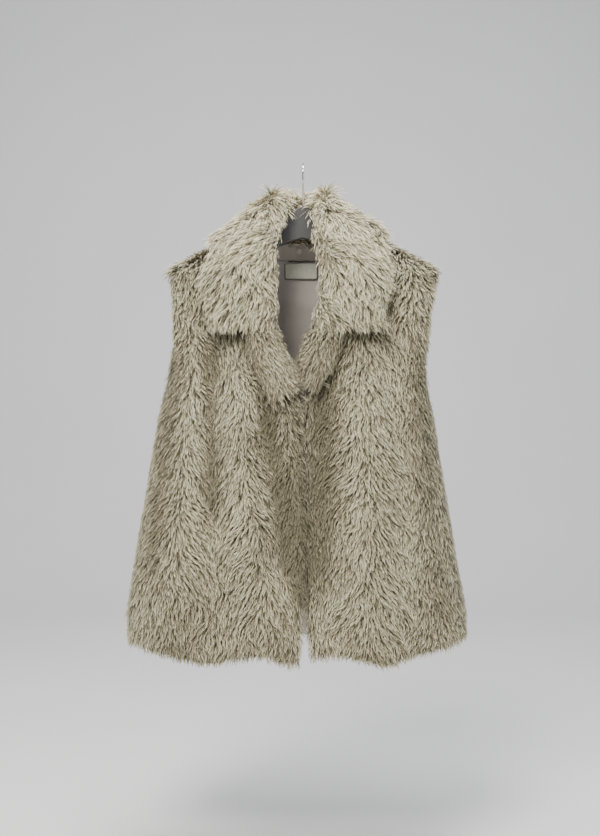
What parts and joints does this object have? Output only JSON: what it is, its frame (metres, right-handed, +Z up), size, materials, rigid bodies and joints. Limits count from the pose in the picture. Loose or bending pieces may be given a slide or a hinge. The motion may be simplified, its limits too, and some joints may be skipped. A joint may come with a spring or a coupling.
{
  "type": "faux fur vest on a hanger",
  "caption": "Sleeveless faux fur vest with a wide fluffy collar and small lapels, open at the front, hung on a flat contoured hanger with a wire hook.",
  "frame": {"origin": "the seat inside the crown of the hanger's hook, where the rod carries it", "axes": "+Z up, -Y the vest's front, +X the wearer's left"},
  "size_m": [0.539, 0.2153, 0.7742],
  "materials": {
    "fur": "long faux fur pile",
    "collar_fur": "longer faux fur pile",
    "lining": "satin lining",
    "label": "woven label",
    "hanger": "matte",
    "chrome": "polished"
  },
  "bodies": {
    "root": {"back": "fur", "front_left": "fur", "front_right": "fur", "collar": "collar_fur", "lapel_left": "collar_fur", "lapel_right": "collar_fur", "back_lining": "lining", "neck_facing": "lining", "label": "label", "neck_stud": "chrome", "hanger_body": "hanger", "hanger_hook": "chrome"}
  },
  "joints": []
}
